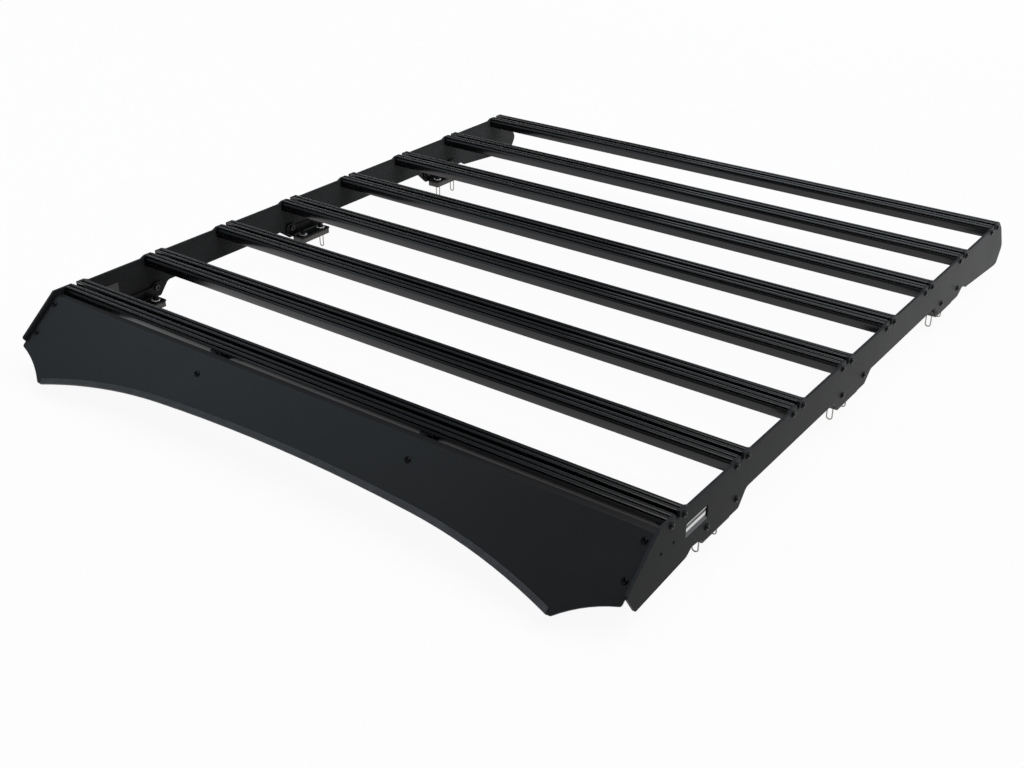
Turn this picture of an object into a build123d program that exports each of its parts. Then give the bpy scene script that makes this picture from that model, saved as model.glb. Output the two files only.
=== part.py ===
from build123d import *
import math
import os

# Flat platform roof rack, in millimetres.
# X runs across the vehicle, +Y towards its rear, +Z up, and the left side is at +X.
# The origin is on the floor under the middle of the rack, which stands on the wire clips of its feet.

# Deck
rack_width = 1254.0
rail_thickness = 5.0
slat_count = 8
slat_pitch = 181.3
first_slat_from_origin = 591.5

# Slat section
slat_width = 51.0
slat_height = 20.0
slat_top_width = 44.0
shoulder_drop = 6.0
slat_wall = 2.2
slot_mouth = 9.0
slot_lip = 2.5
slot_chamber_width = 17.0
slot_chamber_height = 7.0
land_groove_width = 2.6
land_groove_depth = 1.8
land_groove_offset = 12.7
edge_groove_offset = 19.6
screw_rib_height = 8.0
slat_bolt_offset = 17.0
slat_bolt_depth = 10.5

# Feet
foot_pitch = 454.2
front_foot_from_slat = 129.5
foot_crown = 5.5
foot_tab_depth = 91.5
foot_bolt_spacing = 87.0
foot_bolt_rise = 21.5
foot_bolt_hole_radius = 3.3
foot_plate = 4.0
foot_bend_radius = 4.0
foot_flange_width = 30.0
foot_flange_length = 83.0
foot_leg_rise = 25.0
foot_heel_rise = 13.0
foot_ear_reach = 10.5
foot_ear_end_reach = 16.0
foot_ear_cut = 6.0
foot_ear_slope = 5.0
stud_spacing = 53.5
stud_from_rail = 18.0
stud_hole_radius = 3.5
pad_thickness = 10.5
pad_length = 82.0
pad_edge_inset = 0.5
pad_corner_cut = 1.5
pad_window_clearance = 0.5
pad_window_run = 9.0
clip_drop = 29.5
clip_wire_radius = 1.1
clip_leg_spacing = 9.8
clip_wire_sides = 8
clip_bend_corners = 4

# Side rail outline, with depths measured down from the slat tops
rail_top_drop = 4.4
rail_waist_depth = 66.5
hump_top_reach = 22.0
hump_foot_reach = 31.5
hump_notch_width = 10.5
hump_notch_depth = 10.0
slat_bolt_hole_radius = 3.3
front_edge_reach = 45.0
front_edge_length = 100.0
chin_run = 24.0
chin_depth = 100.0
beak_heel_reach = 33.0
beak_heel_depth = 90.0
beak_notch_run = 13.0
beak_notch_depth = 81.0
beak_notch_fall = 2.0
tab_front_margin = 5.0
tab_rear_margin = 11.0
tab_front_ramp = 27.0
tab_rear_ramp = 21.0
rear_notch_run = 19.0
rear_notch_width = 14.0
rear_notch_depth = 80.5
rear_notch_step_run = 12.0
rear_notch_step_depth = 88.0
tail_reach = 80.0
tail_nose_depth = 70.0
tail_heel_run = 36.0
tail_toe_run = 20.0
tail_toe_rise = 1.0
tail_depth = 103.5
tail_brow_run = 29.0
tail_brow_depth = 22.0
rail_corner_radius = 4.0
rail_sweep_radius = 14.0
window_length = 60.0
window_height = 22.5
window_from_slat = 56.2
window_depth = 44.2
window_corner_radius = 2.0

# Wind fairing, with drops measured down the front edges of the rails
fairing_lean = 39.5
fairing_thickness = 3.0
fairing_setback = 6.7
fairing_end_gap = 0.3
fairing_top_drop = 5.2
fairing_lip_depth = 12.5
fairing_lip_corner_cut = 7.0
fairing_bend_radius = 3.5
fairing_corner_drop = 111.0
fairing_corner_radius = 5.0
fairing_tip_from_end = 83.0
fairing_tip_width = 7.0
fairing_tip_drop = 158.0
fairing_tip_round = 0.8
fairing_arch_drop = 97.4
fairing_arch_radius = 4140.0
fairing_arch_reach = 269.0
fairing_flare_radius = 1030.0
fairing_scallop_rise = 5.5
fairing_bolt_hole_radius = 3.3
fairing_end_bolt_from_rail = 11.5
fairing_upper_bolt_drop = 20.2
fairing_lower_bolt_drop = 78.6
fairing_centre_bolt_reach = 223.0
fairing_centre_bolt_drop = 39.2
trim_height = 8.5
trim_wall = 1.3
trim_overhang = 1.4
trim_end_gap = 0.5

# Fairing brackets
bracket_plate = 3.0
end_bracket_width = 32.0
end_bracket_margin = 9.0
end_bracket_rear_reach = 6.0
end_screw_hole_radius = 2.6
end_screw_depth = 43.0
end_screw_front_reach = 40.0
end_screw_rear_reach = 7.0
centre_bracket_width = 25.0
centre_bracket_top_depth = 7.0
centre_bracket_step_depth = 23.0
centre_bracket_margin = 10.0

# Places worked out from the sizes above
inner_half = rack_width / 2 - rail_thickness
slat_length = 2 * inner_half
slat_top = clip_drop + pad_thickness + foot_tab_depth
first_slat_y = -first_slat_from_origin
last_slat_y = first_slat_y + (slat_count - 1) * slat_pitch
slat_rows = [first_slat_y + k * slat_pitch for k in range(slat_count)]
stud_x = inner_half - stud_from_rail
front_top_y = first_slat_y - front_edge_reach
lean_angle = math.radians(fairing_lean)
lean_cos = math.cos(lean_angle)
lean_sin = math.sin(lean_angle)
fairing_half = inner_half - fairing_end_gap
fairing_back = fairing_setback + fairing_thickness
end_bolt_x = inner_half - fairing_end_bolt_from_rail
bracket_bend = bracket_plate * math.tan(lean_angle / 2)

foot_names = ["front", "middle", "rear"]
foot_rows = [first_slat_y + front_foot_from_slat + k * foot_pitch for k in range(3)]
foot_heights = [slat_top - foot_tab_depth + lift for lift in (0, foot_crown, 0)]
end_screw_places = [
    (first_slat_y - end_screw_front_reach, slat_top - end_screw_depth),
    (first_slat_y - end_screw_rear_reach, slat_top - end_screw_depth),
]


def fairing_point(drop, behind):
    """Point (y, z) at a distance down the front edges of the rails and at a distance behind them."""
    y = front_top_y - drop * lean_cos + behind * lean_sin
    z = slat_top - drop * lean_sin - behind * lean_cos
    return (y, z)


def fairing_plane(behind):
    """Plane along the front edges of the rails, facing forward and up, at a distance behind them."""
    y, z = fairing_point(0, behind)
    return Plane(origin=(0, y, z), x_dir=(1, 0, 0), z_dir=(0, -lean_sin, lean_cos))


def side_plane(x):
    """Plane across X, with its first axis along Y and its second along Z."""
    return Plane.YZ.offset(x)


def save(piece, name):
    """Label one piece and write its file."""
    piece.label = name
    export_step(piece, "parts/" + name + ".step")


def rail_corners():
    """Corners (y, depth, radius) of a side rail, from its front top corner round by the lower edge."""
    sharp = rail_corner_radius
    sweep = rail_sweep_radius
    tab_fore = foot_bolt_spacing / 2 + tab_front_margin
    tab_aft = foot_bolt_spacing / 2 + tab_rear_margin
    front_tab, middle_tab, rear_tab = foot_rows
    low_depth = foot_tab_depth
    mid_depth = foot_tab_depth - foot_crown
    top_y, top_z = fairing_point(rail_top_drop / lean_sin, 0)
    low_y, low_z = fairing_point(front_edge_length, 0)
    beak_heel = first_slat_y + beak_heel_reach
    rear_notch = rear_tab + tab_aft + rear_notch_run
    tail = last_slat_y + tail_reach
    return [
        (top_y, slat_top - top_z, 0),
        (low_y, slat_top - low_z, sharp),
        (low_y + chin_run, chin_depth, sharp),
        (beak_heel, beak_heel_depth, sweep),
        (beak_heel + beak_notch_run, beak_notch_depth, 0),
        (front_tab - tab_fore - beak_notch_run, beak_notch_depth + beak_notch_fall, 0),
        (front_tab - tab_fore, low_depth, 0),
        (front_tab + tab_aft, low_depth, sharp),
        (front_tab + tab_aft + tab_rear_ramp, rail_waist_depth, sweep),
        (middle_tab - tab_fore - tab_front_ramp, rail_waist_depth, 0),
        (middle_tab - tab_fore, mid_depth, 0),
        (middle_tab + tab_aft, mid_depth, sharp),
        (middle_tab + tab_aft + tab_rear_ramp, rail_waist_depth, sweep),
        (rear_tab - tab_fore - tab_front_ramp, rail_waist_depth, 0),
        (rear_tab - tab_fore, low_depth, 0),
        (rear_tab + tab_aft, low_depth, sharp),
        (rear_notch, rear_notch_depth, 0),
        (rear_notch + rear_notch_width, rear_notch_depth, 0),
        (rear_notch + rear_notch_width + rear_notch_step_run, rear_notch_step_depth, 0),
        (tail - tail_heel_run, tail_depth, 0),
        (tail - tail_toe_run, tail_depth - tail_toe_rise, sharp),
        (tail, tail_nose_depth, sweep),
        (tail - tail_brow_run, tail_brow_depth, sweep),
        (last_slat_y + hump_foot_reach, rail_top_drop, 0),
    ]


def side_rail(side):
    """One cut side rail: front beak, foot tabs, tail, humps over the slat ends, window and bolt holes."""
    corners = rail_corners()
    hump_base = slat_top - rail_top_drop
    slat_bolts = []
    for y in slat_rows:
        slat_bolts.append((y - slat_bolt_offset, slat_top - slat_bolt_depth))
        slat_bolts.append((y + slat_bolt_offset, slat_top - slat_bolt_depth))
    foot_bolts = []
    for y, z in zip(foot_rows, foot_heights):
        foot_bolts.append((y - foot_bolt_spacing / 2, z + foot_bolt_rise))
        foot_bolts.append((y + foot_bolt_spacing / 2, z + foot_bolt_rise))
    with BuildPart() as rail:
        with BuildSketch(side_plane(side * inner_half)):
            with BuildLine():
                points = [(y, slat_top - depth) for y, depth, radius in corners]
                FilletPolyline(*points, radius=[radius for y, depth, radius in corners], close=True)
            make_face()
            for y in slat_rows:
                front_foot = (y - hump_foot_reach, hump_base)
                front_top = (y - hump_top_reach, slat_top)
                if y == first_slat_y:
                    front_foot = fairing_point(rail_top_drop / lean_sin, 0)
                    front_top = fairing_point(0, 0)
                with BuildLine():
                    Polyline(
                        front_foot,
                        front_top,
                        (y + hump_top_reach, slat_top),
                        (y + hump_foot_reach, hump_base),
                        (y, hump_base - rail_top_drop),
                        close=True,
                    )
                make_face()
            with Locations(*[(y, slat_top) for y in slat_rows]):
                Rectangle(hump_notch_width, 2 * hump_notch_depth, mode=Mode.SUBTRACT)
            with Locations(*slat_bolts):
                Circle(slat_bolt_hole_radius, mode=Mode.SUBTRACT)
            with Locations(*foot_bolts):
                Circle(foot_bolt_hole_radius, mode=Mode.SUBTRACT)
            with Locations(*end_screw_places):
                Circle(end_screw_hole_radius, mode=Mode.SUBTRACT)
            with Locations((first_slat_y + window_from_slat, slat_top - window_depth)):
                RectangleRounded(window_length, window_height, window_corner_radius, mode=Mode.SUBTRACT)
        extrude(amount=side * rail_thickness)
    return rail.part


def slat(y):
    """One extruded slat: T-slot, grooved lands, sloped shoulders, hollow sides with a screw rib each."""
    half = slat_width / 2
    top_half = slat_top_width / 2
    bottom = slat_top - slat_height
    chamber_top = slat_top - slot_lip
    chamber_floor = chamber_top - slot_chamber_height
    cavity_in = slot_chamber_width / 2 + slat_wall
    cavity_out = half - slat_wall
    cavity_top = slat_top - land_groove_depth - slat_wall
    cavity_floor = bottom + slat_wall
    rib_z = slat_top - slat_bolt_depth
    with BuildPart() as bar:
        with BuildSketch(side_plane(-inner_half)):
            with BuildLine():
                Polyline(
                    (y - half, bottom),
                    (y - half, slat_top - shoulder_drop),
                    (y - top_half, slat_top),
                    (y + top_half, slat_top),
                    (y + half, slat_top - shoulder_drop),
                    (y + half, bottom),
                    close=True,
                )
            make_face()
            with Locations((y, slat_top)):
                Rectangle(slot_mouth, 2 * slot_lip, mode=Mode.SUBTRACT)
            with Locations((y, (chamber_top + chamber_floor) / 2)):
                Rectangle(slot_chamber_width, slot_chamber_height, mode=Mode.SUBTRACT)
            with Locations((y, (chamber_floor - slat_wall + cavity_floor) / 2)):
                Rectangle(slot_chamber_width, chamber_floor - slat_wall - cavity_floor, mode=Mode.SUBTRACT)
            for hand in (-1, 1):
                groove_rows = [y + hand * land_groove_offset, y + hand * edge_groove_offset]
                with Locations(*[(row, slat_top) for row in groove_rows]):
                    Rectangle(land_groove_width, 2 * land_groove_depth, mode=Mode.SUBTRACT)
                with BuildLine():
                    Polyline(
                        (y + hand * cavity_in, cavity_floor),
                        (y + hand * cavity_out, cavity_floor),
                        (y + hand * cavity_out, slat_top - shoulder_drop - slat_wall),
                        (y + hand * (cavity_out - half + top_half), cavity_top),
                        (y + hand * cavity_in, cavity_top),
                        close=True,
                    )
                make_face(mode=Mode.SUBTRACT)
                with Locations((y + hand * (cavity_in + cavity_out) / 2, rib_z)):
                    Rectangle(cavity_out - cavity_in, screw_rib_height)
        extrude(amount=slat_length)
    return bar.part


def arch(end_gap, raised):
    """The arched lower edge of the fairing, drawn shorter at both ends and raised by a distance."""
    tip = fairing_half - fairing_tip_from_end - fairing_tip_width - end_gap
    flat_sine = fairing_arch_reach / fairing_arch_radius
    tip_sine = flat_sine + (tip - fairing_arch_reach) / fairing_flare_radius
    flat_turn = math.degrees(math.asin(flat_sine))
    flare_turn = math.degrees(math.asin(tip_sine)) - flat_turn
    crown = (0, raised - fairing_arch_drop)
    ends = []
    for hand in (-1, 1):
        flat = JernArc(crown, (hand, 0), fairing_arch_radius, -hand * flat_turn)
        flare = JernArc(flat @ 1, flat % 1, fairing_flare_radius, -hand * flare_turn)
        ends.append(flare @ 1)
    return ends


def fairing_sheet():
    """The flat of the fairing with its scalloped lower corners, pointed tips and arched lower edge."""
    tip_out = fairing_half - fairing_tip_from_end
    tip_in = tip_out - fairing_tip_width
    run = fairing_half - tip_out
    fall = fairing_tip_drop - fairing_corner_drop
    chord = math.hypot(run, fall)
    scallop_x = (fairing_half + tip_out) / 2 - fairing_scallop_rise * fall / chord
    scallop_drop = (fairing_corner_drop + fairing_tip_drop) / 2 - fairing_scallop_rise * run / chord
    nose_x = (tip_in + tip_out) / 2
    bolts = []
    for hand in (-1, 1):
        bolts.append((hand * end_bolt_x, -fairing_upper_bolt_drop))
        bolts.append((hand * end_bolt_x, -fairing_lower_bolt_drop))
        bolts.append((hand * fairing_centre_bolt_reach, -fairing_centre_bolt_drop))
    with BuildPart() as sheet:
        with BuildSketch(fairing_plane(fairing_setback)) as outline:
            with BuildLine():
                Line((-fairing_half, -fairing_top_drop), (fairing_half, -fairing_top_drop))
                for hand, end in zip((-1, 1), arch(0, 0)):
                    corner = (hand * fairing_half, -fairing_corner_drop)
                    tip = (hand * tip_out, -fairing_tip_drop)
                    Line((hand * fairing_half, -fairing_top_drop), corner)
                    ThreePointArc(corner, (hand * scallop_x, -scallop_drop), tip)
                    ThreePointArc(tip, (hand * nose_x, end.Y - fairing_tip_round), end)
            make_face()
            end_columns = outline.vertices().group_by(Axis.X)
            lower_corners = [end_columns[column].sort_by(Axis.Y)[0] for column in (0, -1)]
            fillet(lower_corners, fairing_corner_radius)
            with Locations(*bolts):
                Circle(fairing_bolt_hole_radius, mode=Mode.SUBTRACT)
        extrude(amount=-fairing_thickness)
    return sheet.part


def wind_fairing():
    """The fairing with the narrow return lip bent back along its top edge, cut off at its rear corners."""
    front_y, front_z = fairing_point(fairing_top_drop, fairing_setback)
    bend = fairing_thickness * math.tan(lean_angle / 2)
    with BuildPart() as fairing:
        add(fairing_sheet())
        with BuildSketch(side_plane(-fairing_half)):
            with BuildLine():
                Polyline(
                    (front_y, front_z),
                    (front_y + fairing_lip_depth, front_z),
                    (front_y + fairing_lip_depth, front_z - fairing_thickness),
                    fairing_point(fairing_top_drop + bend, fairing_back),
                    fairing_point(fairing_top_drop, fairing_back),
                    close=True,
                )
            make_face()
        extrude(amount=2 * fairing_half)
        lip_edges = fairing.edges().filter_by(Axis.X).group_by(Axis.Z)[-1]
        fillet(lip_edges.sort_by(Axis.Y)[0], fairing_bend_radius)
        chamfer(fairing.edges().filter_by(Axis.Z), fairing_lip_corner_cut)
    return fairing.part


def edge_trim():
    """Rubber channel pushed over the arched lower edge of the fairing."""
    with BuildPart() as trim:
        with BuildSketch(fairing_plane(fairing_setback - trim_wall)):
            with BuildLine():
                low_ends = arch(trim_end_gap, -trim_overhang)
                high_ends = arch(trim_end_gap, trim_height)
                for low, high in zip(low_ends, high_ends):
                    Line(low, high)
            make_face()
        extrude(amount=-(fairing_thickness + 2 * trim_wall))
        add(fairing_sheet(), mode=Mode.SUBTRACT)
    return trim.part


def end_bracket(side):
    """Angle between a rail and the fairing: one leg behind the fairing, one on the rail's inner face."""
    high = fairing_upper_bolt_drop - end_bracket_margin
    low = fairing_lower_bolt_drop + end_bracket_margin
    rear_y = first_slat_y + end_bracket_rear_reach
    screw_z = slat_top - end_screw_depth
    with BuildPart() as bracket:
        with BuildSketch(fairing_plane(fairing_back)):
            with Locations((side * (inner_half - end_bracket_width / 2), -(high + low) / 2)):
                Rectangle(end_bracket_width, low - high)
        extrude(amount=-bracket_plate)
        with BuildSketch(side_plane(side * inner_half)):
            with BuildLine():
                Polyline(
                    fairing_point(fairing_upper_bolt_drop, fairing_back),
                    fairing_point(low, fairing_back),
                    (rear_y, screw_z - end_bracket_margin),
                    (rear_y, screw_z + end_bracket_margin),
                    close=True,
                )
            make_face()
        extrude(amount=-side * bracket_plate)
    return bracket.part


def centre_bracket(side):
    """Bent strip between the back of the fairing and the front face of the first slat."""
    slat_face = first_slat_y - slat_width / 2
    top_z = slat_top - centre_bracket_top_depth
    step_z = slat_top - centre_bracket_step_depth
    step_drop = (centre_bracket_step_depth - fairing_back * lean_cos) / lean_sin
    low = fairing_centre_bolt_drop + centre_bracket_margin
    with BuildPart() as bracket:
        with BuildSketch(side_plane(side * fairing_centre_bolt_reach - centre_bracket_width / 2)):
            with BuildLine():
                Polyline(
                    (slat_face, top_z),
                    (slat_face, step_z - bracket_plate),
                    fairing_point(step_drop + bracket_bend, fairing_back + bracket_plate),
                    fairing_point(low, fairing_back + bracket_plate),
                    fairing_point(low, fairing_back),
                    fairing_point(step_drop, fairing_back),
                    (slat_face - bracket_plate, step_z),
                    (slat_face - bracket_plate, top_z),
                    close=True,
                )
            make_face()
        extrude(amount=centre_bracket_width)
    return bracket.part


def foot_bracket(side, y, z):
    """Angle bracket: eared leg bolted to the rail's inner face, flange inwards for the two studs."""
    half_bolts = foot_bolt_spacing / 2
    half_flange = foot_flange_length / 2
    ear_out = half_bolts + foot_ear_end_reach
    ear_in = half_bolts - foot_ear_reach
    ear_top = z + foot_bolt_rise + foot_ear_reach
    leg_top = z + foot_leg_rise
    half_leg = [
        (half_flange, z),
        (ear_out, z + foot_heel_rise),
        (ear_out, ear_top - foot_ear_cut),
        (ear_out - foot_ear_cut, ear_top),
        (ear_in + foot_ear_cut, ear_top),
        (ear_in, ear_top - foot_ear_cut),
        (ear_in - foot_ear_slope, leg_top),
    ]
    with BuildPart() as bracket:
        with BuildSketch(side_plane(side * inner_half)):
            with BuildLine():
                rear_half = [(y + d, height) for d, height in half_leg]
                front_half = [(y - d, height) for d, height in reversed(half_leg)]
                Polyline(*rear_half, *front_half, close=True)
            make_face()
        extrude(amount=-side * foot_plate)
        with BuildSketch(Plane.XY.offset(z)):
            with Locations((side * (inner_half - foot_flange_width / 2), y)):
                Rectangle(foot_flange_width, foot_flange_length)
            with Locations((side * stud_x, y - stud_spacing / 2), (side * stud_x, y + stud_spacing / 2)):
                Circle(stud_hole_radius, mode=Mode.SUBTRACT)
        extrude(amount=foot_plate)
        flange_edges = bracket.edges().filter_by(Axis.Y).group_by(Axis.Z)[1]
        bend_edge = flange_edges.sort_by(lambda edge: side * edge.center().X)[-1]
        fillet(bend_edge, foot_bend_radius)
    return bracket.part


def foot_pad(side, y, z):
    """Pad block under a foot's flange, with a window round each stud and its wire clip."""
    pad_width = foot_flange_width - 2 * pad_edge_inset
    window_width = clip_leg_spacing + 2 * (clip_wire_radius + pad_window_clearance)
    with BuildPart() as pad:
        with BuildSketch(Plane.XY.offset(z)) as plan:
            with Locations((side * (inner_half - foot_flange_width / 2), y)):
                Rectangle(pad_width, pad_length)
            chamfer(plan.vertices(), pad_corner_cut)
            with Locations((side * stud_x, y - stud_spacing / 2), (side * stud_x, y + stud_spacing / 2)):
                Rectangle(window_width, pad_window_run, mode=Mode.SUBTRACT)
        extrude(amount=-pad_thickness)
    return pad.part


def wire_clips(side, y, z):
    """The two bent-wire clips of a foot, hanging from its flange through the pad."""
    bend = clip_leg_spacing / 2
    leg = pad_thickness + clip_drop - clip_wire_radius - bend
    step = math.pi / clip_bend_corners
    # The corners lie outside the bend's circle, so that each straight step between them is tangent to it.
    corner_radius = bend / math.cos(step / 2)
    corner_angles = [step * (k + 0.5) for k in range(clip_bend_corners)]
    corners = [(-corner_radius * math.cos(a), -leg - corner_radius * math.sin(a)) for a in corner_angles]
    with BuildPart() as clips:
        for hand in (-1, 1):
            clip_y = y + hand * stud_spacing / 2
            clip_plane = Plane(origin=(side * stud_x, clip_y, z), x_dir=(1, 0, 0), z_dir=(0, -1, 0))
            with BuildLine(clip_plane) as path:
                Polyline((-bend, 0), *corners, (bend, 0))
            with BuildSketch(Plane(origin=path.line @ 0, x_dir=(1, 0, 0), z_dir=(0, 0, -1))):
                RegularPolygon(
                    clip_wire_radius,
                    clip_wire_sides,
                    major_radius=False,
                    rotation=180 / clip_wire_sides,
                )
            sweep(path=path.line, transition=Transition.RIGHT)
    return clips.part


os.makedirs("parts", exist_ok=True)
hands = {"left": 1, "right": -1}

for hand_name, side in hands.items():
    save(side_rail(side), hand_name + "_side_rail")
    save(end_bracket(side), hand_name + "_fairing_end_bracket")
    save(centre_bracket(side), hand_name + "_fairing_centre_bracket")
    for foot_name, y, z in zip(foot_names, foot_rows, foot_heights):
        foot = foot_name + "_" + hand_name
        save(foot_bracket(side, y, z), foot + "_foot_bracket")
        save(foot_pad(side, y, z), foot + "_foot_pad")
        save(wire_clips(side, y, z), foot + "_wire_clips")

for number, y in enumerate(slat_rows, start=1):
    save(slat(y), "slat_" + str(number))

save(wind_fairing(), "wind_fairing")
save(edge_trim(), "fairing_edge_trim")
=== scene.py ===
"""Looks of a flat platform roof rack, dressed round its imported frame.

Lengths are in metres. X runs across the vehicle, +Y towards its rear and +Z up, and the left side
is at +X, as in the frame. The finished pieces stand where the frame's nodes say.
"""

import logging
import math
from collections.abc import Callable, Iterable, Iterator
from contextlib import contextmanager
from dataclasses import dataclass, field
from enum import Enum

import bmesh
import bpy
from mathutils import Matrix, Vector


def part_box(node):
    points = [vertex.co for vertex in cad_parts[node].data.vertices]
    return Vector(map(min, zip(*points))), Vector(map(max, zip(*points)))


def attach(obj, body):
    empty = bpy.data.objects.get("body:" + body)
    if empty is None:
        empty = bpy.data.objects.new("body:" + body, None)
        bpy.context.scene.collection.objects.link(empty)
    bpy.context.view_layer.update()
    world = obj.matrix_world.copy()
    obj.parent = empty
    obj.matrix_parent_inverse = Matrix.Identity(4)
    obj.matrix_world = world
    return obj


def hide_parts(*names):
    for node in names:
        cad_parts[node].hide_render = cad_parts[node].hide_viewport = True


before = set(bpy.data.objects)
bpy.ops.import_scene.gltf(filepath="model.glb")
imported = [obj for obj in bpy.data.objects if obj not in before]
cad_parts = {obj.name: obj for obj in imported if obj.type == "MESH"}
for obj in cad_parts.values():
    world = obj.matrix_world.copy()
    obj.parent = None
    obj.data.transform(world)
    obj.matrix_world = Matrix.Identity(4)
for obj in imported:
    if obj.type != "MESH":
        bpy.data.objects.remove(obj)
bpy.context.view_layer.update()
log = logging.getLogger("roof_rack")

BODY = "root"
GOLDEN_TURN = math.radians(137.5)
SMOOTH_ANGLE = math.radians(35)
FLAT_ANGLE = math.radians(0.1)
WELD_GAP = 0.00001
ROUNDED = {"segments": 2, "limit_method": "ANGLE", "angle_limit": SMOOTH_ANGLE}

Piece = bpy.types.Object
Material = bpy.types.Material
Socket = bpy.types.NodeSocket
Colour = tuple[float, float, float]
Span = tuple[float, float]

WHOLE: Span = (0.0, 1.0)


class Side(Enum):
    """The vehicle's two sides, each with the sign of X there."""

    LEFT = 1
    RIGHT = -1

    @property
    def label(self) -> str:
        """The side's name in the frame's node names."""
        return self.name.lower()

    @property
    def rail(self) -> str:
        """The node name of the side's rail."""
        return f"{self.label}_side_rail"

    @property
    def outwards(self) -> Vector:
        """The direction away from the rack's middle."""
        return Vector((self.value, 0, 0))

    def face(self, node: str, outer: bool) -> float:
        """The place across the vehicle of the outer or inner face of a node on this side."""
        low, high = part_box(node)
        return high.x if outer == (self is Side.LEFT) else low.x


class FootRow(Enum):
    """The three rows of feet along the vehicle."""

    FRONT = "front"
    MIDDLE = "middle"
    REAR = "rear"


class Slot(Enum):
    """The names of the record's material slots, one named for each new piece."""

    SLAT = "slat_coat"
    BRACKET = "bracket_steel"
    WIRE = "clip_wire"


class Bench:
    """Short calls for the modelling steps that the pieces share."""

    @staticmethod
    def only(piece: Piece) -> None:
        """Make one object the only selected one, and the active one."""
        bpy.ops.object.select_all(action="DESELECT")
        piece.select_set(True)
        bpy.context.view_layer.objects.active = piece

    @staticmethod
    @contextmanager
    def editing(piece: Piece) -> Iterator[None]:
        """Open a piece in edit mode with all of it selected, and close it again afterwards.

        Args:
            piece: The piece to open.
        """
        Bench.only(piece)
        bpy.ops.object.mode_set(mode="EDIT")
        bpy.ops.mesh.select_all(action="SELECT")
        yield
        bpy.ops.object.mode_set(mode="OBJECT")

    @staticmethod
    def pick(piece: Piece, wanted: Callable[[Vector], bool]) -> None:
        """Select the corners of a piece in edit mode by their place, and nothing else.

        Args:
            piece: The piece that is open.
            wanted: Whether a place is wanted.
        """
        bpy.ops.mesh.select_all(action="DESELECT")
        mesh = bmesh.from_edit_mesh(piece.data)
        for corner in mesh.verts:
            corner.select = wanted(corner.co)
        mesh.select_flush_mode()
        bmesh.update_edit_mesh(piece.data)

    @staticmethod
    def named(name: str) -> Piece:
        """Name the active piece, and move its place and size into its mesh.

        Args:
            name: The piece's name.

        Returns:
            The piece.
        """
        piece = bpy.context.object
        piece.name = name
        piece.data.name = name
        bpy.ops.object.transform_apply(location=True, rotation=True, scale=True)
        return piece

    @staticmethod
    def give(piece: Piece, name: str, kind: str, **settings: object) -> None:
        """Give a piece a live modifier.

        Args:
            piece: The piece.
            name: The modifier's name.
            kind: The modifier's type.
            settings: The modifier's settings by name.
        """
        modifier = piece.modifiers.new(name, kind)
        for setting, value in settings.items():
            setattr(modifier, setting, value)

    @staticmethod
    def modify(piece: Piece, kind: str, **settings: object) -> None:
        """Give a piece a modifier and apply it.

        Args:
            piece: The piece to change.
            kind: The modifier's type.
            settings: The modifier's settings by name.
        """
        Bench.give(piece, kind, kind, **settings)
        Bench.only(piece)
        bpy.ops.object.modifier_apply(modifier=kind)

    @staticmethod
    def turned(name: str, rings: list[Span], sides: int) -> Piece:
        """Make a round or prismatic piece on the Z axis by drawing a disc up through rings.

        Args:
            name: The piece's name.
            rings: The radius and height of each ring, from the lowest up.
            sides: How many sides each ring has.

        Returns:
            The piece.
        """
        radius, height = rings[0]
        bpy.ops.object.select_all(action="DESELECT")
        bpy.ops.mesh.primitive_circle_add(
            vertices=sides, radius=radius, fill_type="NGON", location=(0, 0, height)
        )
        piece = Bench.named(name)
        with Bench.editing(piece):
            for next_radius, next_height in rings[1:]:
                rise = {"value": (0, 0, next_height - height)}
                bpy.ops.mesh.extrude_region_move(TRANSFORM_OT_translate=rise)
                growth = next_radius / radius
                bpy.ops.transform.resize(value=(growth, growth, 1))
                radius, height = next_radius, next_height
            bpy.ops.mesh.select_all(action="SELECT")
            bpy.ops.mesh.normals_make_consistent(inside=False)
        return piece

    @staticmethod
    def block(name: str, size: Vector, centre: Vector, rounding: float = 0.0) -> Piece:
        """Make a block, with rounded edges where a rounding is given.

        Args:
            name: The piece's name.
            size: Its length along each axis.
            centre: The place of its middle.
            rounding: The width of the rounded edges.

        Returns:
            The piece.
        """
        bpy.ops.object.select_all(action="DESELECT")
        bpy.ops.mesh.primitive_cube_add(size=1, location=centre, scale=size)
        piece = Bench.named(name)
        if rounding:
            with Bench.editing(piece):
                bpy.ops.mesh.bevel(offset=rounding, segments=3, affect="EDGES")
        return piece

    @staticmethod
    def cut(piece: Piece, cutter: Piece, keep_inside: bool = False) -> None:
        """Cut a piece with another one, and throw the cutter away.

        Args:
            piece: The piece to cut.
            cutter: The piece to cut it with.
            keep_inside: Whether what lies inside the cutter stays, and not what lies outside it.
        """
        operation = "INTERSECT" if keep_inside else "DIFFERENCE"
        Bench.modify(piece, "BOOLEAN", operation=operation, object=cutter, solver="EXACT")
        bpy.data.objects.remove(cutter)

    @staticmethod
    def join(name: str, pieces: list[Piece]) -> Piece:
        """Join pieces into the first one, with its place in its mesh.

        Args:
            name: The joined piece's name.
            pieces: The pieces to join.

        Returns:
            The joined piece.
        """
        Bench.only(pieces[0])
        for piece in pieces[1:]:
            piece.select_set(True)
        if len(pieces) > 1:
            bpy.ops.object.join()
        return Bench.named(name)

    @staticmethod
    def copied(model: Piece, place: Matrix) -> Piece:
        """Copy a model, with a mesh of its own.

        Args:
            model: The piece to copy.
            place: Where the copy stands.

        Returns:
            The copy.
        """
        copy = model.copy()
        copy.data = model.data.copy()
        bpy.context.scene.collection.objects.link(copy)
        copy.matrix_world = place
        return copy

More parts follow.
